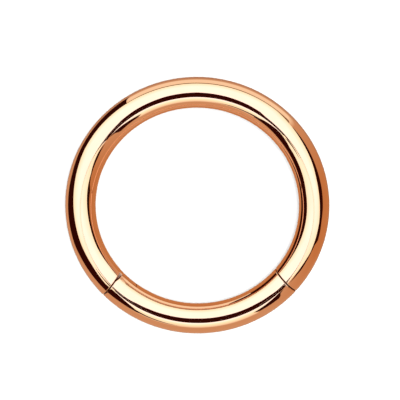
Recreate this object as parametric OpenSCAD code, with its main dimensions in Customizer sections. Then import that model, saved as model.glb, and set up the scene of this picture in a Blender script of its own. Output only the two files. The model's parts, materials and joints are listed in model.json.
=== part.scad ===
// A hinged segment ring for a piercing: round wire bent to a circle, with a short arc that swings out on a
// pin. It lies on its side with its axis along +Z. The origin is the middle of the ring, on the surface
// that it lies on. Angles are counted from +X towards +Y.

/* [Ring] */
// Inner diameter of the closed ring
inner_d = 8; // [7:0.5:12]
// Thickness of the round wire
wire_d = 1.2; // [1.1:0.05:1.4]

/* [Seams] */
// Where the hinge seam crosses the wire
hinge_at = 222.6; // [218:0.2:228]
// How far the hinge seam leans from the radius
hinge_lean = 10.5; // [8.5:0.5:12.5]
// Where the clasp seam crosses the wire
clasp_at = 319.8; // [313:0.2:323]
// How far the clasp seam leans from the radius
clasp_lean = -6; // [-8:0.5:-4]
// Gap between the two faces of a seam
seam_gap = 0.04; // [0.03:0.01:0.06]

/* [Hinge] */
// How far the segment swings out
open_angle = 130; // [100:5:130]
// Diameter of the hinge pin
pin_d = 0.3; // [0.25:0.05:0.35]
// Distance of the pin from the outer surface of the wire
pin_depth = 0.37; // [0.35:0.01:0.38]
// Distance of the pin past the hinge seam, along the wire
pin_reach = 0.98; // [0.98:0.01:1.1]
// Metal left over the blind end of the pin's bore
pin_cover = 0.07; // [0.05:0.01:0.12]
// Thickness of the hinge tongue and of the clasp tab
plate_t = 0.4; // [0.34:0.02:0.42]
// Radius of the tongue's round end about the pin
knuckle_r = 0.42; // [0.4:0.01:0.45]
// Length of the relief on the segment's inner corner, along the wire
relief_l = 0.13; // [0.08:0.01:0.2]
// Height of that relief, across the wire
relief_h = 0.36; // [0.2:0.02:0.4]

/* [Clasp] */
// Length of the tab past the clasp seam
tab_l = 0.5; // [0.35:0.05:0.5]
// Width of the tab across the wire
tab_w = 0.52; // [0.4:0.02:0.52]
// Distance of the tab from the inner surface of the wire
tab_inset = 0.22; // [0.2:0.02:0.3]
// Size of the bevel on the tab's leading corner
tab_bevel = 0.24; // [0.2:0.02:0.3]
// Free play around the tongue, the pin and the tab
play = 0.02; // [0.02:0.005:0.03]

/* [Hidden] */
$fn = 96;
wire_r = wire_d / 2;
ring_r = inner_d / 2 + wire_r;
pin_r = pin_d / 2;
pin_out = wire_r - pin_depth;               // from the wire's centre line to the pin, outwards
pin_at = hinge_at + pin_reach / ring_r * 180 / PI;
pin_xy = (ring_r + pin_out) * dir(pin_at);
slot_turn = open_angle - 90;                // turns the slot's floor to the tongue's outer edge when open
far = 4 * wire_d;                           // past the wire in every direction
hinge_seam = on_cut(hinge_at, hinge_lean, 0, 0);
pin_foot = (pin_xy - hinge_seam) * dir(hinge_at + hinge_lean);
nose_r = (pin_xy - hinge_seam) * dir(hinge_at + hinge_lean + 90) + seam_gap / 2 - play;
bore_top = wire_r + sqrt(pow(wire_r, 2) - pow(pin_out + pin_r, 2)) - pin_cover;
tab_lo = tab_inset - wire_r;                // the tab's edges, from the wire's centre line
tab_hi = tab_lo + tab_w;
tab_corners = [[tab_l, tab_hi - tab_bevel], [tab_l - tab_bevel, tab_hi]];
tab_swing = max([for (c = tab_corners) norm(at_clasp(c) - pin_xy)]);

function dir(a) = [cos(a), sin(a)];

// A point on a cut: out is its distance from the wire's centre line, along its distance along the wire
function on_cut(a, lean, out, along) = ring_r * dir(a) + out * dir(a + lean) + along * dir(a + lean + 90);

// A point beside the clasp seam, [along the wire into the ring body, out from the wire's centre line]
function at_clasp(p) = on_cut(clasp_at, 0, p[1], p[0]);

// The whole wire as one closed circle
module whole_wire()
    translate([0, 0, wire_r]) rotate_extrude() translate([ring_r, 0]) circle(wire_r);

// A layer of thickness t in the middle of the wire, with the outline of its children
module mid_layer(t)
    translate([0, 0, wire_r - t / 2]) linear_extrude(height = t) children();

// The children's outline at every height of the wire
module full_height()
    translate([0, 0, -wire_r]) linear_extrude(height = 2 * wire_d) children();

// The stretch between the two cuts, with each cut moved inwards by move
module between_cuts(move)
    polygon([
        on_cut(hinge_at, hinge_lean, -wire_d, move),
        on_cut(hinge_at, hinge_lean, far, move),
        on_cut(clasp_at, clasp_lean, far, -move),
        on_cut(clasp_at, clasp_lean, -wire_d, -move)
    ]);

// Puts the children at the pin, with +X pointing outwards and +Y along the wire, past the hinge
module at_pin()
    translate(pin_xy) rotate(pin_at) children();

// The slot's side of a line that touches a circle of radius r about the pin, where the slot's floor is
module slot_side(r)
    at_pin() rotate(slot_turn) translate([-far, -2 * far]) square([2 * far, 2 * far + r]);

// Outline of the tongue: it ends in a round about the pin and a flat that faces the slot's floor
module tongue_outline()
    at_pin() {
        circle(knuckle_r);
        translate([0, -far]) square(far);
        rotate(slot_turn) translate([-far, -far]) square([far, far + knuckle_r]);
    }

// Outline of the tab, a plate with a bevel on the corner that enters the kerf first
module tab_outline()
    polygon([
        at_clasp([-tab_l, tab_lo]), at_clasp([tab_l, tab_lo]), at_clasp(tab_corners[0]),
        at_clasp(tab_corners[1]), at_clasp([-tab_l, tab_hi])
    ]);

// Outline of the kerf, which the tab enters and leaves along a circle about the pin
module kerf_outline()
    intersection() {
        translate(pin_xy) circle(tab_swing + 2 * play);
        translate(at_clasp([0, 0])) rotate(clasp_at)
            translate([tab_lo - play, -wire_r]) square([far, wire_r + tab_l + 2 * play]);
    }

module ring_body()
    color("#d98c5f")
    difference() {
        whole_wire();
        difference() {
            full_height() between_cuts(-seam_gap / 2);
            mid_layer(plate_t) tongue_outline();
        }
        translate([pin_xy[0], pin_xy[1], 0]) cylinder(h = wire_d, r = pin_r + play);
        mid_layer(plate_t + 2 * play) kerf_outline();
    }

// The space of the pin's bore in the fork, open at the bottom and blind at the top
module pin_space()
    translate([pin_xy[0], pin_xy[1], -wire_r]) cylinder(h = bore_top + wire_r, r = pin_r);

// Rounds the fork's outer corner about the pin, so that it turns clear of the ring body's end
module nose_round()
    full_height() difference() {
        polygon([
            on_cut(hinge_at, hinge_lean, pin_foot, 0), on_cut(hinge_at, hinge_lean, far, 0),
            on_cut(hinge_at, hinge_lean, far, nose_r / 2), on_cut(hinge_at, hinge_lean, pin_foot, nose_r / 2)
        ]);
        translate(pin_xy) circle(nose_r);
    }

// Relief on the inner corner of the fork, which keeps skin out of the hinge
module corner_relief()
    full_height() polygon([
        on_cut(hinge_at, hinge_lean, -wire_d, -relief_l),
        on_cut(hinge_at, hinge_lean, -wire_d, seam_gap / 2 + relief_l * (wire_d - wire_r + relief_h) / relief_h),
        on_cut(hinge_at, hinge_lean, 2 * relief_h - wire_r + seam_gap / 2 * relief_h / relief_l, -relief_l)
    ]);

module hinged_segment()
    color("#e09a6c") {
        difference() {
            intersection() {
                whole_wire();
                full_height() between_cuts(seam_gap / 2);
            }
            mid_layer(plate_t + 2 * play) slot_side(knuckle_r + play);
            corner_relief();
            nose_round();
            pin_space();
        }
        mid_layer(plate_t) tab_outline();
    }

module hinge_pin()
    color("#b9b4ae")
    intersection() {
        whole_wire();
        pin_space();
    }

ring_body();
hinged_segment();
hinge_pin();
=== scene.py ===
import json
import math
from collections import namedtuple

import bpy
import numpy as np
from mathutils import Matrix, Vector


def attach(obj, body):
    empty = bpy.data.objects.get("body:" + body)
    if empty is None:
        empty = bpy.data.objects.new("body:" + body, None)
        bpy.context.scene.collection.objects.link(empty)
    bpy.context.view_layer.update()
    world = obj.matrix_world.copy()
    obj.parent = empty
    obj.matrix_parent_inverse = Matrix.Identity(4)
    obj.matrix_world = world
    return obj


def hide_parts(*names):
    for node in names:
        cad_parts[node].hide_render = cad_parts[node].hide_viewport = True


# The polished pieces of a hinged segment ring, with its studio. The wire is shaped in millimetres, in the
# part's own frame, and scaled to metres when a piece is finished. Angles are counted from +X towards +Y.

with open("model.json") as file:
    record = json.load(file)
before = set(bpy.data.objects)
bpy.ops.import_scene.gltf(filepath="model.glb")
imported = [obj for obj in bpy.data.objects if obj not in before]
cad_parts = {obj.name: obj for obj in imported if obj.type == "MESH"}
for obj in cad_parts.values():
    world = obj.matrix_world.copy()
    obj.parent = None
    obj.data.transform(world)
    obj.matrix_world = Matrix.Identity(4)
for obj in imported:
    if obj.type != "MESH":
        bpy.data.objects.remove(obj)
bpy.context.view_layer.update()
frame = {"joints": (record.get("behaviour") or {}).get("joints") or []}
MM = 0.001
UP = np.array([0.0, 0.0, 1.0])

# Sizes of the real ring, in millimetres and degrees
WIRE_R = 0.6
RING_R = 4.6
HINGE_AT, HINGE_LEAN = 222.6, 10.5
CLASP_AT, CLASP_LEAN = 319.8, -6.0
SEAM_GAP = 0.04
PIN_R = 0.15
PLATE_T = 0.4
KNUCKLE_R = 0.42
RELIEF_L, RELIEF_H = 0.13, 0.36
TAB_L, TAB_W, TAB_INSET, TAB_BEVEL = 0.5, 0.52, 0.22, 0.24
PLAY = 0.02
PIN_COVER = 0.07

hinge = frame["joints"][0]
PIN_XY = np.array(hinge["pos_m"][:2]) / MM
PIN_AT = math.degrees(math.atan2(PIN_XY[1], PIN_XY[0]))
PIN_OUT = float(np.hypot(*PIN_XY)) - RING_R
SLOT_TURN = hinge["range_deg"][1] - 90
BORE_TOP = WIRE_R + math.sqrt(WIRE_R**2 - (PIN_OUT + PIN_R) ** 2) - PIN_COVER

# How finely the wire is divided, the rounding of its edges, and how near a corner on a round has to lie
AROUND = 128
STEP_DEG = 1.25
EDGE_R = 0.03
EDGE_STEPS = 4
PLATE_EDGE = 0.015
SAME_RADIUS = 1e-6

# How far the tongue and the pin's end lie under the wire's surface, and the clearances of the bore
CORE_SINK = 0.006
BORE_PLAY = 0.004
ROD_PLAY = 0.01


def direction(a):
    """Unit vector at an angle, in the ring's plane."""
    return np.array([math.cos(math.radians(a)), math.sin(math.radians(a))])


def on_cut(at, lean, out, along):
    """Points beside a cut: out from the wire's centre line along the cut, and along the wire away from it."""
    out, along = np.asarray(out, float)[..., None], np.asarray(along, float)[..., None]
    return RING_R * direction(at) + out * direction(at + lean) + along * direction(at + lean + 90)


def at_clasp(along, out):
    """A point beside the clasp seam, along the wire into the ring body and out from its centre line."""
    return on_cut(CLASP_AT, 0, out, along)


def at_pin(points):
    """Points given at the pin, +X outwards and +Y along the wire past the hinge, in the part's frame."""
    points = np.asarray(points, float)
    return PIN_XY + points[:, :1] * direction(PIN_AT) + points[:, 1:] * direction(PIN_AT + 90)


def turned(points, degrees):
    """Plane points turned about the origin."""
    points = np.asarray(points, float)
    return points[:, :1] * direction(degrees) + points[:, 1:] * direction(degrees + 90)


# The end faces of the wire. A profile gives how far the face stands back from the cut at each distance out.
Cut = namedtuple("Cut", "at lean side profile")

PIN_SIDE = PIN_XY - on_cut(HINGE_AT, HINGE_LEAN, 0, 0)
PIN_FOOT = float(PIN_SIDE @ direction(HINGE_AT + HINGE_LEAN))
NOSE_R = float(PIN_SIDE @ direction(HINGE_AT + HINGE_LEAN + 90)) + SEAM_GAP / 2 - PLAY
# How far out from the pin the fork's corner is rounded, and over what width its relief begins
NOSE_REACH = 0.4
RELIEF_SOFT = 0.012


def plain_end(out):
    """A flat end face, half the seam's gap back from the cut."""
    return np.full_like(out, SEAM_GAP / 2)


def fork_end(out):
    """The fork's end face: a relief on the inner corner, and an outer corner that is round about the pin."""
    past = (RELIEF_H - WIRE_R - out) / RELIEF_SOFT
    relief = RELIEF_L / RELIEF_H * RELIEF_SOFT * np.logaddexp(0, past)
    reach = np.sqrt(NOSE_R**2 - np.clip(out - PIN_FOOT, 0, NOSE_REACH) ** 2)
    nose = np.maximum(0, NOSE_R + PLAY - SEAM_GAP / 2 - reach - SEAM_GAP / 2)
    return SEAM_GAP / 2 + relief + nose


RING_CLASP = Cut(CLASP_AT - 360, CLASP_LEAN, -1, plain_end)
RING_HINGE = Cut(HINGE_AT, HINGE_LEAN, 1, plain_end)
FORK = Cut(HINGE_AT, HINGE_LEAN, -1, fork_end)
SEGMENT_CLASP = Cut(CLASP_AT, CLASP_LEAN, 1, plain_end)


def on_wire(turn, around):
    """Points and normals of the wire's surface, from the angle in the plane and the angle round the wire."""
    outward = np.stack([np.cos(turn), np.sin(turn), np.zeros_like(turn)], -1)
    normal = np.cos(around)[..., None] * outward + np.sin(around)[..., None] * UP
    return RING_R * outward + WIRE_R * (normal + UP), normal


def end_rings(cut, around):
    """Rings of points and normals that round the wire's end, from the wire's surface to the end face, and the
    first ring's two angles."""
    radius = RING_R + WIRE_R * np.cos(around)
    out = WIRE_R * np.cos(around)
    nudge, newton_steps = 1e-5, 8

    def reach(o):
        return np.linalg.norm(on_cut(cut.at, cut.lean, o, -cut.side * cut.profile(o)), axis=-1)

    for _ in range(newton_steps):
        slope = (reach(out + nudge) - reach(out - nudge)) / (2 * nudge)
        out = out - (reach(out) - radius) / slope
    flat = on_cut(cut.at, cut.lean, out, -cut.side * cut.profile(out))
    edge = np.column_stack([flat, WIRE_R + WIRE_R * np.sin(around)])
    lean = (cut.profile(out + nudge) - cut.profile(out - nudge)) / (2 * nudge)
    face = cut.side * direction(cut.at + cut.lean + 90) + lean[:, None] * direction(cut.at + cut.lean)
    face = np.column_stack([face, np.zeros(len(out))])
    face /= np.linalg.norm(face, axis=1, keepdims=True)
    turn = np.arctan2(flat[:, 1], flat[:, 0])
    surface = on_wire(turn, around)[1]
    spread = 1 + np.sum(surface * face, axis=1, keepdims=True)
    middle = edge - EDGE_R / spread * (surface + face)
    start = middle + EDGE_R * surface
    turn = np.arctan2(start[:, 1], start[:, 0])
    around = np.unwrap(np.arctan2(start[:, 2] - WIRE_R, np.hypot(start[:, 0], start[:, 1]) - RING_R))
    first, surface = on_wire(turn, around)
    rings = [(first, surface)]
    for step in range(1, EDGE_STEPS + 1):
        share = step / EDGE_STEPS
        angle = np.arccos(np.clip(np.sum(surface * face, axis=1, keepdims=True), -1, 1))
        normal = (np.sin((1 - share) * angle) * surface + np.sin(share * angle) * face) / np.sin(angle)
        rings.append((middle + EDGE_R * normal, normal))
    return rings, turn, around


def make_mesh(name, points, faces, normals):
    """A mesh object whose corners carry exact normals, with a zero vector where the face is flat."""
    mesh = bpy.data.meshes.new(name)
    mesh.from_pydata([tuple(p) for p in points], [], faces)
    exact = mesh.attributes.new("exact", "FLOAT_VECTOR", "CORNER")
    exact.data.foreach_set("vector", np.asarray(normals, np.float32).ravel())
    made = bpy.data.objects.new(name, mesh)
    bpy.context.scene.collection.objects.link(made)
    return made


def tube_faces(rings, around=AROUND):
    """The side faces of a tube, from its number of rings and the points in each."""
    steps = [(j, (j + 1) % around) for j in range(around)]
    starts = range(0, (rings - 1) * around, around)
    return [(a + j, a + k, a + around + k, a + around + j) for a in starts for j, k in steps]


def wire_arc(name, start, end):
    """A stretch of the wire between two cuts, counted anticlockwise, with rounded ends."""
    around = np.linspace(0, 2 * math.pi, AROUND, endpoint=False)
    first, turn_a, around_a = end_rings(start, around)
    last, turn_b, around_b = end_rings(end, around)
    turn_a = np.radians(start.at) + (turn_a - np.radians(start.at) + math.pi) % (2 * math.pi) - math.pi
    turn_b = np.radians(end.at) + (turn_b - np.radians(end.at) + math.pi) % (2 * math.pi) - math.pi
    around_a += 2 * math.pi * np.round((around - around_a) / (2 * math.pi))
    around_b += 2 * math.pi * np.round((around - around_b) / (2 * math.pi))
    count = round((end.at - start.at) / STEP_DEG)
    rows = [on_wire(turn_a + (turn_b - turn_a) * k / count, around_a + (around_b - around_a) * k / count)
            for k in range(1, count)]
    rings = first[::-1] + rows + last
    points = np.concatenate([r[0] for r in rings])
    normal = np.concatenate([r[1] for r in rings])
    faces = tube_faces(len(rings))
    corners = [normal[v] for f in faces for v in f]
    half = AROUND // 2
    for base, order in ((0, 1), ((len(rings) - 1) * AROUND, -1)):
        for j in range(half):
            low, high = (AROUND - j) % AROUND, AROUND - j - 1
            face = [base + v for v in (j, low, high, j + 1)]
            face = list(dict.fromkeys(face))[::order]
            faces.append(tuple(face))
            corners += [normal[v] for v in face]
    return make_mesh(name, points, faces, corners)


def wire_core(start, end, rings):
    """A stretch of the wire between two angles, a little thinner than the real one."""
    around = np.linspace(0, 2 * math.pi, AROUND, endpoint=False)
    sections = [on_wire(np.full(AROUND, t), around) for t in np.radians(np.linspace(start, end, rings))]
    points = np.concatenate([p - CORE_SINK * n for p, n in sections])
    normals = np.concatenate([n for _, n in sections])
    faces = tube_faces(rings)
    corners = [normals[v] for f in faces for v in f]
    faces += [tuple(range(AROUND))[::-1], tuple((rings - 1) * AROUND + j for j in range(AROUND))]
    corners += [np.zeros(3)] * (2 * AROUND)
    return make_mesh("core", points, faces, corners)


def prism(name, outline, low, high, bevel=0.0, round_about=None, round_r=0.0):
    """A plate with this outline and bevelled edges. Corners at round_r from round_about lie on a round."""
    outline = np.asarray(outline, float)
    count = len(outline)
    ahead = np.roll(outline, -1, axis=0) - outline
    ahead /= np.linalg.norm(ahead, axis=1, keepdims=True)
    area = np.sum(outline[:, 0] * np.roll(outline[:, 1], -1) - np.roll(outline[:, 0], -1) * outline[:, 1])
    if area < 0:
        return prism(name, outline[::-1], low, high, bevel, round_about, round_r)
    side_out = np.stack([ahead[:, 1], -ahead[:, 0]], -1)
    before_out = np.roll(side_out, 1, axis=0)
    mitre = (side_out + before_out) / (1 + np.sum(side_out * before_out, axis=1, keepdims=True))
    layers = [(low, 0), (high, 0)]
    if bevel:
        layers = [(low, bevel), (low + bevel, 0.0), (high - bevel, 0.0), (high, bevel)]
    points = np.concatenate([
        np.column_stack([outline - inset * mitre, np.full(count, z)]) for z, inset in layers
    ])
    if round_about is None:
        is_round = np.zeros(count, bool)
        radial = np.zeros((count, 3))
    else:
        arm = outline - round_about
        is_round = np.abs(np.linalg.norm(arm, axis=1) - round_r) < SAME_RADIUS
        radial = np.column_stack([arm / np.linalg.norm(arm, axis=1, keepdims=True), np.zeros(count)])
    faces = [tuple(range(count))[::-1], tuple((len(layers) - 1) * count + i for i in range(count))]
    corners = [np.zeros(3)] * (2 * count)
    walls = len(layers) // 2 - 1
    for layer in range(len(layers) - 1):
        for i in range(count):
            k = (i + 1) % count
            a, b = layer * count, (layer + 1) * count
            faces.append((a + i, a + k, b + k, b + i))
            if layer == walls and is_round[i] and is_round[k]:
                corners += [radial[i], radial[k], radial[k], radial[i]]
            else:
                corners += [np.zeros(3)] * 4
    return make_mesh(name, points, faces, corners)


def arc_points(middle, radius, start, end, count):
    """Points on a circle, from one angle to another."""
    angles = [start + (end - start) * i / count for i in range(count + 1)]
    return [np.asarray(middle) + radius * direction(a) for a in angles]


def carve(base, tool, operation):
    """Cuts the tool out of base, or joins it, and removes the tool."""
    step = base.modifiers.new("step", "BOOLEAN")
    step.operation, step.solver, step.object = operation, "MANIFOLD", tool
    bpy.context.view_layer.update()
    shown = base.evaluated_get(bpy.context.evaluated_depsgraph_get())
    was, made = base.data, bpy.data.meshes.new_from_object(shown)
    base.modifiers.clear()
    base.data = made
    bpy.data.meshes.remove(was)
    bpy.data.objects.remove(tool)
    return base


def finish_piece(piece, body, node, material):
    """Scales a piece to metres, gives it its exact normals and material, ties it to its body, and hides the
    node it stands for.
    """
    mesh = piece.data
    count = len(mesh.loops)
    exact = np.zeros(count * 3, np.float32)
    mesh.attributes["exact"].data.foreach_get("vector", exact)
    exact = exact.reshape(-1, 3).astype(float)
    mesh.attributes.remove(mesh.attributes["exact"])
    face_normal = np.zeros(len(mesh.polygons) * 3, np.float32)
    mesh.polygons.foreach_get("normal", face_normal)
    sizes = np.zeros(len(mesh.polygons), np.int32)
    mesh.polygons.foreach_get("loop_total", sizes)
    flat = np.repeat(face_normal.reshape(-1, 3).astype(float), sizes, axis=0)
    length = np.linalg.norm(exact, axis=1, keepdims=True)
    flat_below, tiny = 0.5, 1e-9
    exact = np.where(length > flat_below, exact / np.maximum(length, tiny), flat)
    exact *= np.where(np.sum(exact * flat, axis=1, keepdims=True) < 0, -1, 1)
    mesh.transform(Matrix.Scale(MM, 4))
    mesh.polygons.foreach_set("use_smooth", [True] * len(mesh.polygons))
    mesh.normals_split_custom_set(exact)
    mesh.materials.clear()
    mesh.materials.append(material)
    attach(piece, body)
    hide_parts(node)


# Materials
def new_material(name):
    """A material with a bare Principled shader; returns it with its nodes, links and shader."""
    material = bpy.data.materials.new(name)
    material.use_nodes = True
    nodes, links = material.node_tree.nodes, material.node_tree.links
    shader = next(n for n in nodes if n.type == "BSDF_PRINCIPLED")
    return material, nodes, links, shader


def along_the_wire(nodes, links, squeeze):
    """Texture coordinates that follow the wire: distance from the ring's axis, height, and the way round,
    which is squeezed. Also gives the plain object coordinates."""
    place = nodes.new("ShaderNodeTexCoord")
    split = nodes.new("ShaderNodeSeparateXYZ")
    links.new(place.outputs["Object"], split.inputs[0])
    turn = calculate(nodes, links, "ARCTAN2", split.outputs["Y"], split.outputs["X"])
    way = calculate(nodes, links, "MULTIPLY", turn, RING_R * MM * squeeze)
    flat = nodes.new("ShaderNodeCombineXYZ")
    links.new(split.outputs["X"], flat.inputs["X"])
    links.new(split.outputs["Y"], flat.inputs["Y"])
    radius = nodes.new("ShaderNodeVectorMath")
    radius.operation = "LENGTH"
    links.new(flat.outputs[0], radius.inputs[0])
    joined = nodes.new("ShaderNodeCombineXYZ")
    links.new(radius.outputs["Value"], joined.inputs["X"])
    links.new(split.outputs["Z"], joined.inputs["Y"])
    links.new(way, joined.inputs["Z"])
    return joined.outputs[0], place.outputs["Object"]


def noise(nodes, links, where, per_mm, detail=2.0):
    """Noise of about this many features per millimetre."""
    texture = nodes.new("ShaderNodeTexNoise")
    texture.inputs["Scale"].default_value = per_mm / MM
    texture.inputs["Detail"].default_value = detail
    links.new(where, texture.inputs["Vector"])
    return texture.outputs["Fac"]


def between(nodes, links, value, low, high):
    """Maps the middle of a noise to a range."""
    spread = nodes.new("ShaderNodeMapRange")
    spread.inputs["From Min"].default_value, spread.inputs["From Max"].default_value = NOISE_MIDDLE
    spread.inputs["To Min"].default_value, spread.inputs["To Max"].default_value = low, high
    links.new(value, spread.inputs["Value"])
    return spread.outputs[0]


def calculate(nodes, links, operation, *values):
    """A math node with these values, each a number or a socket."""
    node = nodes.new("ShaderNodeMath")
    node.operation = operation
    for socket, value in zip(node.inputs, values):
        if isinstance(value, (int, float)):
            socket.default_value = value
        else:
            links.new(value, socket)
    return node.outputs[0]


def ramp(nodes, links, value, start, end):
    """0 up to start and 1 from end on; start may also be the larger one."""
    node = nodes.new("ShaderNodeMapRange")
    node.inputs["From Min"].default_value, node.inputs["From Max"].default_value = start, end
    links.new(value, node.inputs["Value"])
    return node.outputs[0]


def mixed(nodes, links, share, a, b):
    """A mix of two colours, each given by its values or a socket."""
    node = nodes.new("ShaderNodeMix")
    node.data_type = "RGBA"
    links.new(share, node.inputs["Factor"])
    for name, value in (("A", a), ("B", b)):
        if isinstance(value, tuple):
            node.inputs[name].default_value = (*value, 1)
        else:
            links.new(value, node.inputs[name])
    return node.outputs["Result"]


def seam_shade_and_dulling(nodes, links, streaks):
    """Two shares: 1 on the cut faces, which lie under the wire's round surface and take the dull finish and
    the painted seam shade, and 1 in the layer of the tongue and the tab. streaks are the coordinates that
    follow the wire."""
    split = nodes.new("ShaderNodeSeparateXYZ")
    links.new(streaks, split.inputs[0])
    out = calculate(nodes, links, "SUBTRACT", split.outputs["X"], RING_R * MM)
    up = calculate(nodes, links, "SUBTRACT", split.outputs["Y"], WIRE_R * MM)
    squares = [calculate(nodes, links, "MULTIPLY", side, side) for side in (out, up)]
    depth = calculate(nodes, links, "SQRT", calculate(nodes, links, "ADD", *squares))
    height = calculate(nodes, links, "ABSOLUTE", up)
    layer = ramp(nodes, links, height, (PLATE_T / 2 + LAYER_FROM) * MM, (PLATE_T / 2 + LAYER_TO) * MM)
    return ramp(nodes, links, depth, CUT_FROM * MM, CUT_TO * MM), layer


def polished_metal(name, colour, deep_colour, roughness, scratch):
    """Mirror-polished plating: polishing lines along the wire, cloudy gloss and a slight drift of the colour.
    The cut faces of the seams, which no wheel reaches, are dull, and are painted dark as shade in the seams.
    The tongue and the tab are dull and painted a lighter colour than the cut faces."""
    material, nodes, links, shader = new_material(name)
    streaks, place = along_the_wire(nodes, links, STREAK_SQUEEZE)
    cut, layer = seam_shade_and_dulling(nodes, links, streaks)
    tint = mixed(nodes, links, noise(nodes, links, place, TINT_PER_MM), colour, deep_colour)
    # Painted shade: faces under the wire's surface take a dark seam colour in place of the metal's own, and
    # the tongue and the tab take a lighter one
    under = mixed(nodes, links, layer, SEAM_SHADE_COLOUR, PLATE_COLOUR)
    links.new(mixed(nodes, links, cut, tint, under), shader.inputs["Base Color"])
    shader.inputs["Metallic"].default_value = 1.0
    gloss = between(nodes, links, noise(nodes, links, place, GLOSS_PER_MM, GLOSS_DETAIL), *roughness)
    dulled = calculate(nodes, links, "MULTIPLY", cut, CUT_ROUGHNESS)
    links.new(calculate(nodes, links, "MAXIMUM", gloss, dulled), shader.inputs["Roughness"])
    bump = nodes.new("ShaderNodeBump")
    bump.inputs["Strength"].default_value = scratch
    bump.inputs["Distance"].default_value = SCRATCH_DEPTH * MM
    links.new(noise(nodes, links, streaks, STREAKS_PER_MM, STREAK_DETAIL), bump.inputs["Height"])
    links.new(bump.outputs["Normal"], shader.inputs["Normal"])
    return material


# Each metal: its colour and a deeper one, the range of its roughness, and the strength of its scratches
ROSE_GOLD = (0.93, 0.54, 0.35), (0.90, 0.50, 0.31), (0.015, 0.035), 0.06
PIN_METAL = (0.80, 0.50, 0.36), (0.74, 0.46, 0.33), (0.14, 0.24), 0.5
# Painted shade in the seams: the dark colour of the cut faces stands in for shade; the second colour is the
# lighter one of the tongue and the tab
SEAM_SHADE_COLOUR, PLATE_COLOUR = (0.34, 0.12, 0.065), (0.66, 0.36, 0.23)
CUT_ROUGHNESS = 0.5
# Distances from the wire's centre line, and from the tongue's flat faces, between which the finish and the
# painted seam shade change
CUT_FROM, CUT_TO = 0.592, 0.575
LAYER_FROM, LAYER_TO = 0.012, 0.006
# The polish: features per millimetre, noise detail, and the depth of the scratches in millimetres
NOISE_MIDDLE = 0.3, 0.7
STREAK_SQUEEZE = 0.04
TINT_PER_MM = 0.9
GLOSS_PER_MM, GLOSS_DETAIL = 2.2, 4.0
STREAKS_PER_MM, STREAK_DETAIL = 28.0, 3.0
SCRATCH_DEPTH = 0.0005
rose_gold = polished_metal("polished_rose_gold", *ROSE_GOLD)
pin_metal = polished_metal("pin_metal", *PIN_METAL)

# The ring body: the long arc, with the hinge tongue in the middle of its left end and the kerf in its right
# end. Tongue, slot and kerf run on inside the metal or past the wire, where it doesn't show.
MID_LOW, MID_HIGH = WIRE_R - PLATE_T / 2, WIRE_R + PLATE_T / 2
ROOT = -1.25
BEYOND = 1.6
SLOT_FAR = 3.0
KERF_FAR, KERF_STEPS = -0.3, 15
KNUCKLE_STEPS = 40
PIN_SIDES = 64
# Stretches of the wire that shape the tongue and the pin's end: from, to and number of rings
TONGUE_CORE = HINGE_AT - 10, HINGE_AT + 28, 60
PIN_CORE = PIN_AT - 8, PIN_AT + 8, 40
BELOW, ABOVE = -1, 2 * WIRE_R + 1


def tongue():
    """The hinge tongue: a plate with a round end about the pin, kept just under the wire's surface."""
    side = turned([(-BEYOND, KNUCKLE_R)], SLOT_TURN)
    outline = arc_points((0, 0), KNUCKLE_R, 0, SLOT_TURN + 90, KNUCKLE_STEPS)
    outline += [side[0], (-BEYOND, ROOT), (KNUCKLE_R, ROOT)]
    plate = prism("tongue", at_pin(outline), MID_LOW, MID_HIGH, PLATE_EDGE, PIN_XY, KNUCKLE_R)
    return carve(plate, wire_core(*TONGUE_CORE), "INTERSECT")


def pin_hole(radius, low, high):
    """A round tool about the pin's axis."""
    outline = arc_points(PIN_XY, radius, 0, 360 - 360 / PIN_SIDES, PIN_SIDES - 1)
    return prism("hole", outline, low, high, 0.0, PIN_XY, radius)


def kerf():
    """The narrow pocket that takes the clasp tab, which enters and leaves it along a circle about the pin."""
    low, high = TAB_INSET - WIRE_R, TAB_INSET - WIRE_R + TAB_W
    tips = [at_clasp(TAB_L, high - TAB_BEVEL), at_clasp(TAB_L - TAB_BEVEL, high)]
    swing = max(np.linalg.norm(tip - PIN_XY) for tip in tips) + 2 * PLAY
    end = TAB_L + 2 * PLAY
    outline = [at_clasp(KERF_FAR, low - PLAY), at_clasp(end, low - PLAY)]
    for along in np.linspace(end, KERF_FAR, KERF_STEPS):
        base, way = at_clasp(along, 0) - PIN_XY, direction(CLASP_AT)
        out = -base @ way + math.sqrt((base @ way) ** 2 - base @ base + swing**2)
        outline.append(at_clasp(along, out))
    return prism("kerf", outline, MID_LOW - PLAY, MID_HIGH + PLAY)


body = wire_arc("ring_body_polished", RING_CLASP, RING_HINGE)
carve(body, tongue(), "UNION")
carve(body, pin_hole(PIN_R + PLAY, BELOW, ABOVE), "DIFFERENCE")
carve(body, kerf(), "DIFFERENCE")
finish_piece(body, "ring", "ring_body", rose_gold)


# The hinged segment: the short arc, with a fork at its left end and the clasp tab on its right end
def slot():
    """The slot between the fork's cheeks. Its flat floor meets the tongue's edge when the segment is open."""
    far, floor_at = SLOT_FAR, KNUCKLE_R + PLAY
    corners = [(-far, -far), (far, -far), (far, floor_at), (-far, floor_at)]
    return prism("slot", at_pin(turned(corners, SLOT_TURN)), MID_LOW - PLAY, MID_HIGH + PLAY)


def tab():
    """The clasp tab, a plate with a bevel on the corner that enters the kerf first."""
    low, high = TAB_INSET - WIRE_R, TAB_INSET - WIRE_R + TAB_W
    outline = [at_clasp(-TAB_L, low), at_clasp(TAB_L, low), at_clasp(TAB_L, high - TAB_BEVEL),
               at_clasp(TAB_L - TAB_BEVEL, high), at_clasp(-TAB_L, high)]
    return prism("tab", outline, MID_LOW, MID_HIGH, PLATE_EDGE)


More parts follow.
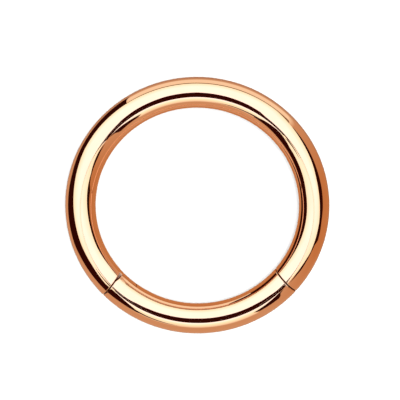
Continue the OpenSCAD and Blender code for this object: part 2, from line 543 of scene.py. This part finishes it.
segment = wire_arc("hinged_segment_polished", FORK, SEGMENT_CLASP)
carve(segment, slot(), "DIFFERENCE")
carve(segment, pin_hole(PIN_R + BORE_PLAY, BELOW, BORE_TOP), "DIFFERENCE")
carve(segment, tab(), "UNION")
finish_piece(segment, "segment", "hinged_segment", rose_gold)


# The hinge pin: flush with the underside, where its end shows as a fine circle
def pin():
    """The pin, with a slightly sunk end that follows the wire."""
    return carve(pin_hole(PIN_R, BELOW, BORE_TOP - ROD_PLAY), wire_core(*PIN_CORE), "INTERSECT")


rod = pin()
rod.name = "hinge_pin_fitted"
finish_piece(rod, "segment", "hinge_pin", pin_metal)

# Camera. It stands off the ring's axis, and looks a little past the ring's middle, which isn't in the middle
# of the picture.
TILT, TURN = 14.8, 86.9
CAMERA_BACK = 100.0
PHOTO_PX = 400
PX_PER_MM = 25.41
CENTRE_PX = (197.27, 206.63)
SENSOR = 36.0


def looking(back):
    """The picture's right, up and backward directions, with +Y upwards."""
    back = back / np.linalg.norm(back)
    right = np.cross([0, 1.0, 0], back)
    right /= np.linalg.norm(right)
    return right, np.cross(back, right), back


middle = np.array([0, 0, WIRE_R])
tilt = math.radians(TILT)
view_right, view_up, view = looking(np.array([*direction(TURN) * math.sin(tilt), math.cos(tilt)]))
eye = middle + CAMERA_BACK * view
aside = (PHOTO_PX / 2 - CENTRE_PX[0]) / PX_PER_MM
above = (CENTRE_PX[1] - PHOTO_PX / 2) / PX_PER_MM
axes = looking(eye - middle - aside * view_right - above * view_up)
camera_data = bpy.data.cameras.new("camera")
camera_data.lens = SENSOR * CAMERA_BACK * PX_PER_MM / PHOTO_PX
camera_data.sensor_width = SENSOR
camera_data.clip_start, camera_data.clip_end = 1 * MM, 2.0
camera = bpy.data.objects.new("camera", camera_data)
camera.matrix_world = Matrix([[*(a[i] for a in axes), eye[i] * MM] for i in range(3)] + [[0, 0, 0, 1]])
bpy.context.scene.collection.objects.link(camera)
bpy.context.scene.camera = camera

# Studio. What the metal mirrors is laid out in millimetres about the ring's middle, and shows in reflections
# alone. A rim is a list of places, each with its azimuth in the ring's plane, its distance out from the
# ring's axis, and its height.
WHITE, WHITE_EDGE, PEACH = (1.5, 1.9, 2.3), (1.25, 1.55, 1.4), (1.06, 1.1, 0.98)
ORANGE, DEEP_ORANGE, UNDER = (0.69, 0.48, 0.32), (0.6, 0.31, 0.14), (0.45, 0.3, 0.21)
SHADE, DARK = (0.27, 0.19, 0.1), (0.03, 0.004, 0.002)
# The softbox's roof: its height, its least reach, its top, and how it overhangs a high and a low rim. Cards
# hang a little behind the rim.
ROOF, ROOF_OUT = 136, 60
ROOF_TOP = -1, -5, ROOF + 4
HIGH_RIM, HIGH_OVERHANG, LOW_OVERHANG = 60, 1.03, 1.02
HANG_SCALE, HANG_ADD = 1.04, 1
SOFTBOX_RIM = [
    (-42, 66, 74), (-33, 54, 53), (-22, 20, 16), (-13, 11.5, 8), (0, 9.4, 5.8), (15, 6.8, 2.3),
    (28, 9.2, 3.1), (36, 16, 4.5), (44, 60, 9), (60, 100, 15), (90, 110, 16), (120, 110, 15),
    (135, 110, 11), (150, 110, 10), (164, 80, 13), (176, 29, 11), (188, 30, 17.5), (200, 21.5, 16),
    (212, 14.4, 12), (224, 13, 14), (235, 20, 23.8), (247, 48, 92), (260, 46, 125), (280, 46, 125),
    (300, 66, 125)
]
LEFT_FLAG_LOW = [
    (131, 60, -55), (138, 50, -43), (150, 30, -20), (165, 17, -6.5), (177, 30, -7.5), (195, 24, -4.5),
    (208, 24, -3), (215, 27, 1), (222, 30, 4.5), (232, 42, 12), (240, 42, 20), (248, 62, 36)
]
RIGHT_FLAG_LOW = [
    (-61, 70, 110), (-49, 60, 64), (-38, 56, 48), (-28, 33, 13), (-16, 12.3, 4.2), (-6, 9, 2.2),
    (4, 7.8, 1.5), (17, 6.6, 1.1), (28, 10.5, 2.2), (34, 16, 3.9)
]
FAR_SHADE_LOW = [(36, 60, 3), (60, 100, 4), (90, 110, 4), (120, 110, 4), (131, 110, 4)]
# Under the wire: a disc, and a skirt for the inner side of the wire across the ring
LOW_CARD_R, LOW_CARD_Z, LOW_CARD_STEP = 6, -5, 10
SKIRT_LOW = [
    (118, 4.6, -1.2), (125, 4.6, -2.6), (150, 4.6, -3.4), (170, 4.6, -4.0), (190, 4.6, -4.2),
    (208, 4.6, -4.2), (222, 4.6, -3.2), (232, 4.6, -1.8), (240, 4.6, -0.9)
]
SKIRT_TOP = -0.64
# Flat shapes over the ring: a height, and corners as x and y
HEAD = 96.7, [
    (-1.4, -25.25), (1.4, -23.3), (4, -18.8), (12.4, -3.2), (13.5, 6.5), (9.6, 15.5), (-1.4, 24),
    (-13.5, 18.5), (-20, 5.5), (-18, -4.8), (-9.6, -18), (-5, -22.9)
]
SHOULDERS = 96.7, [
    (-1.4, -25.75), (-4.8, -27.9), (-8, -32), (-15, -40), (-13, -42.5), (-1.4, -38), (9, -43.5),
    (20, -46), (9, -34.5), (3, -28.5)
]
FRONT = 97.5, [
    (-15, -40), (-1.4, -33), (14, -38), (19, -50), (24, -66), (27, -88), (36, -105), (52, -135),
    (75, -200), (-75, -200), (-92, -140), (-16, -142), (-26, -118), (-34, -106), (-37, -86), (-34, -68)
]
LEFT_LEG = 99, [
    (-8, -33), (-17, -41), (-34, -68), (-37, -86), (-34, -106), (-26, -118), (-16, -142), (-38, -141),
    (-60, -136), (-92, -140), (-95, -120), (-45, -50)
]
RIGHT_LEG = 99, [
    (19, -50), (24, -66), (28, -88), (36, -105), (54, -136), (88, -150), (66, -113), (52, -92),
    (36, -70), (24, -52)
]
# Wedges between head and shoulders, at the heights where the ring's upper and lower stretch see them meet:
# the angle and distance of each corner from the waist
WAIST_XY, WAIST_HEIGHTS = np.array([-1.38, -25.51]), (94.7, 98.7)
WAIST_WEDGES = [(90, 0.3), (42, 4), (90, 4), (140, 4)], [(270, 0.3), (223, 4), (270, 4), (319, 4)]
# Where the lights change, each from one value to another: degrees over the softbox's rim, y on the front card
# in metres, and azimuth or height angle on the surround
RIM_FADE = 0, 26
FRONT_FADES = (-0.050, -0.075), (-0.085, -0.130), (-0.135, -0.185)
RIGHT_FADES, UNDER_FADE = ((-65, -35), (35, 0)), (-40, -65)
WALL_FADES, WALL_RISE = ((31, 36), (134, 130)), (-38, -28)


def shining(name):
    """A material that only shines; returns it with its nodes, links and emission shader."""
    material = bpy.data.materials.new(name)
    material.use_nodes = True
    nodes, links = material.node_tree.nodes, material.node_tree.links
    nodes.clear()
    shine, output = nodes.new("ShaderNodeEmission"), nodes.new("ShaderNodeOutputMaterial")
    links.new(shine.outputs[0], output.inputs["Surface"])
    material.cycles.emission_sampling = "NONE"
    return material, nodes, links, shine


def emitter(name, light):
    """A material that shines with one colour."""
    material, *_, shine = shining(name)
    shine.inputs["Color"].default_value = (*light, 1)
    return material


def bearing(nodes, links):
    """Sockets for a place on the stage: its azimuth and its height angle, in degrees, and its y in metres."""
    place, split = nodes.new("ShaderNodeTexCoord"), nodes.new("ShaderNodeSeparateXYZ")
    links.new(place.outputs["Object"], split.inputs[0])
    length = nodes.new("ShaderNodeVectorMath")
    length.operation = "LENGTH"
    links.new(place.outputs["Object"], length.inputs[0])
    turn = calculate(nodes, links, "ARCTAN2", split.outputs["Y"], split.outputs["X"])
    share = calculate(nodes, links, "DIVIDE", split.outputs["Z"], length.outputs["Value"])
    rise = calculate(nodes, links, "ARCSINE", share)
    azimuth, height = (calculate(nodes, links, "DEGREES", angle) for angle in (turn, rise))
    return azimuth, height, split.outputs["Y"]


def softbox_light():
    """The softbox: brightest overhead, and softer for some way above its rim."""
    material, nodes, links, shine = shining("softbox")
    rim_rise = nodes.new("ShaderNodeAttribute")
    rim_rise.attribute_name = "rim_rise"
    above = calculate(nodes, links, "SUBTRACT", bearing(nodes, links)[1], rim_rise.outputs["Fac"])
    bright = ramp(nodes, links, above, *RIM_FADE)
    links.new(mixed(nodes, links, bright, WHITE_EDGE, WHITE), shine.inputs["Color"])
    return material


def front_light():
    """The front card: white beside the camera, then peach, and orange where it meets the surround."""
    material, nodes, links, shine = shining("front_card")
    y = bearing(nodes, links)[2]
    light = WHITE
    for fade, colour in zip(FRONT_FADES, (WHITE_EDGE, PEACH, ORANGE)):
        light = mixed(nodes, links, ramp(nodes, links, y, *fade), light, colour)
    links.new(light, shine.inputs["Color"])
    return material


def surround_light():
    """The surround: orange, deeper on the right and dim below, with a peach wall on the far side."""
    material, nodes, links, shine = shining("surround")
    azimuth, height, _ = bearing(nodes, links)
    right, wall = (
        calculate(nodes, links, "MULTIPLY", *(ramp(nodes, links, azimuth, *fade) for fade in fades))
        for fades in (RIGHT_FADES, WALL_FADES)
    )
    around = mixed(nodes, links, right, ORANGE, DEEP_ORANGE)
    around = mixed(nodes, links, ramp(nodes, links, height, *UNDER_FADE), around, UNDER)
    wall = calculate(nodes, links, "MULTIPLY", wall, ramp(nodes, links, height, *WALL_RISE))
    links.new(mixed(nodes, links, wall, around, PEACH), shine.inputs["Color"])
    return material


def only_mirrored(name, points, faces, material):
    """Adds a stage object, in millimetres about the ring's middle, that shows in reflections alone."""
    mesh = bpy.data.meshes.new(name)
    mesh.from_pydata([tuple((middle + np.asarray(p, float)) * MM) for p in points], [], faces)
    mesh.materials.append(material)
    thing = bpy.data.objects.new(name, mesh)
    bpy.context.scene.collection.objects.link(thing)
    thing.visible_camera = thing.visible_diffuse = thing.visible_shadow = False
    thing.visible_transmission = thing.visible_volume_scatter = False
    return thing


def rim(places):
    """The points of a rim."""
    return [(out * math.cos(math.radians(a)), out * math.sin(math.radians(a)), z) for a, out, z in places]


def strip(low, high, closed=False):
    """Points and faces of a strip between two rims with as many places."""
    n = len(low)
    faces = [(i, (i + 1) % n, n + (i + 1) % n, n + i) for i in range(n if closed else n - 1)]
    return rim(low) + rim(high), faces


def hung(low):
    """A strip that hangs from just behind the softbox's rim down to a rim of its own."""
    whole = sorted(SOFTBOX_RIM + [(a - 360, out, z) for a, out, z in SOFTBOX_RIM if a > 180])
    turns = sorted({p[0] for p in low} | {p[0] for p in whole if low[0][0] < p[0] < low[-1][0]})
    edges = []
    for places, grow, add in ((low, 1, 0), (whole, HANG_SCALE, HANG_ADD)):
        angle, out, z = zip(*places)
        edges.append([
            (a, np.interp(a, angle, out) * grow + add, np.interp(a, angle, z) * grow + add) for a in turns
        ])
    return strip(*edges)


def flat_shape(height, corners):
    """Points and the face of a flat shape."""
    return [(x, y, height) for x, y in corners], [tuple(range(len(corners)))]


roof_rim = [
    (a, out * HIGH_OVERHANG if z >= HIGH_RIM else max(out * LOW_OVERHANG, ROOF_OUT), ROOF)
    for a, out, z in SOFTBOX_RIM
]
box_points, box_faces = strip(SOFTBOX_RIM, roof_rim, closed=True)
count = len(SOFTBOX_RIM)
box_points.append(ROOF_TOP)
box_faces += [(2 * count, count + i, count + (i + 1) % count) for i in range(count)]
softbox = only_mirrored("softbox", box_points, box_faces, softbox_light())
rim_rise = [math.degrees(math.atan2(z, out)) for _, out, z in SOFTBOX_RIM]
rim_share = softbox.data.attributes.new("rim_rise", "FLOAT", "POINT")
rim_share.data.foreach_set("value", rim_rise * 2 + [sum(rim_rise) / count])
low_card = rim([(a, LOW_CARD_R, LOW_CARD_Z) for a in range(0, 360, LOW_CARD_STEP)])
only_mirrored("low_card", low_card, [tuple(range(len(low_card)))], emitter("low_card", DEEP_ORANGE))
only_mirrored("far_shade", *hung(FAR_SHADE_LOW), emitter("far_shade", SHADE))
dark = emitter("dark_card", DARK)
only_mirrored("left_flag", *hung(LEFT_FLAG_LOW), dark)
only_mirrored("right_flag", *hung(RIGHT_FLAG_LOW), dark)
only_mirrored("skirt", *strip(SKIRT_LOW, [(a, out, SKIRT_TOP) for a, out, z in SKIRT_LOW]), dark)
only_mirrored("head", *flat_shape(*HEAD), dark)
only_mirrored("shoulders", *flat_shape(*SHOULDERS), dark)
only_mirrored("left_leg", *flat_shape(*LEFT_LEG), dark)
only_mirrored("right_leg", *flat_shape(*RIGHT_LEG), dark)
only_mirrored("front_card", *flat_shape(*FRONT), front_light())
for height in WAIST_HEIGHTS:
    for wedge in WAIST_WEDGES:
        corners = [tuple(WAIST_XY + reach * direction(a)) for a, reach in wedge]
        only_mirrored("waist", *flat_shape(height, corners), dark)

rows, cols, dome_r = 24, 48, 300
dome_points = [(dome_r * math.sin(math.pi * i / rows) * math.cos(2 * math.pi * j / cols),
                dome_r * math.sin(math.pi * i / rows) * math.sin(2 * math.pi * j / cols),
                dome_r * math.cos(math.pi * i / rows)) for i in range(rows + 1) for j in range(cols)]
only_mirrored("surround", dome_points, tube_faces(rows + 1, cols), surround_light())

# Floor and lamp, in metres
FLOOR_HALF = 0.6
LAMP_AT, LAMP_SIZE, LAMP_WATTS = (0.02, 0.05, 0.16), 0.16, 0.45
FLOOR_COLOUR, FLOOR_ROUGHNESS = (0.9, 0.89, 0.88), 0.8
AIR_COLOUR, AIR_STRENGTH = (0.97, 0.96, 0.95), 0.9

floor_mesh = bpy.data.meshes.new("floor")
floor_corners = [(x * FLOOR_HALF, y * FLOOR_HALF, 0) for x, y in ((-1, -1), (1, -1), (1, 1), (-1, 1))]
floor_mesh.from_pydata(floor_corners, [], [(0, 1, 2, 3)])
floor = bpy.data.objects.new("floor", floor_mesh)
paper, *_, paper_shader = new_material("pale_floor")
paper_shader.inputs["Base Color"].default_value = (*FLOOR_COLOUR, 1)
paper_shader.inputs["Roughness"].default_value = FLOOR_ROUGHNESS
floor_mesh.materials.append(paper)
bpy.context.scene.collection.objects.link(floor)
floor.visible_glossy = False


def area_light(name, where, size, power):
    """A soft lamp that lights the floor and isn't mirrored."""
    data = bpy.data.lights.new(name, "AREA")
    data.shape, data.size, data.energy = "DISK", size, power
    lamp = bpy.data.objects.new(name, data)
    lamp.location = where
    lamp.rotation_mode = "QUATERNION"
    lamp.rotation_quaternion = (-Vector(where)).to_track_quat("-Z", "Y")
    lamp.visible_glossy = False
    bpy.context.scene.collection.objects.link(lamp)


area_light("overhead", LAMP_AT, LAMP_SIZE, LAMP_WATTS)
world = bpy.data.worlds.new("studio")
world.use_nodes = True
background = next(n for n in world.node_tree.nodes if n.type == "BACKGROUND")
background.inputs["Color"].default_value = (*AIR_COLOUR, 1)
background.inputs["Strength"].default_value = AIR_STRENGTH
bpy.context.scene.world = world
bpy.context.scene.view_settings.view_transform = "Standard"
bpy.context.scene.cycles.caustics_reflective = False
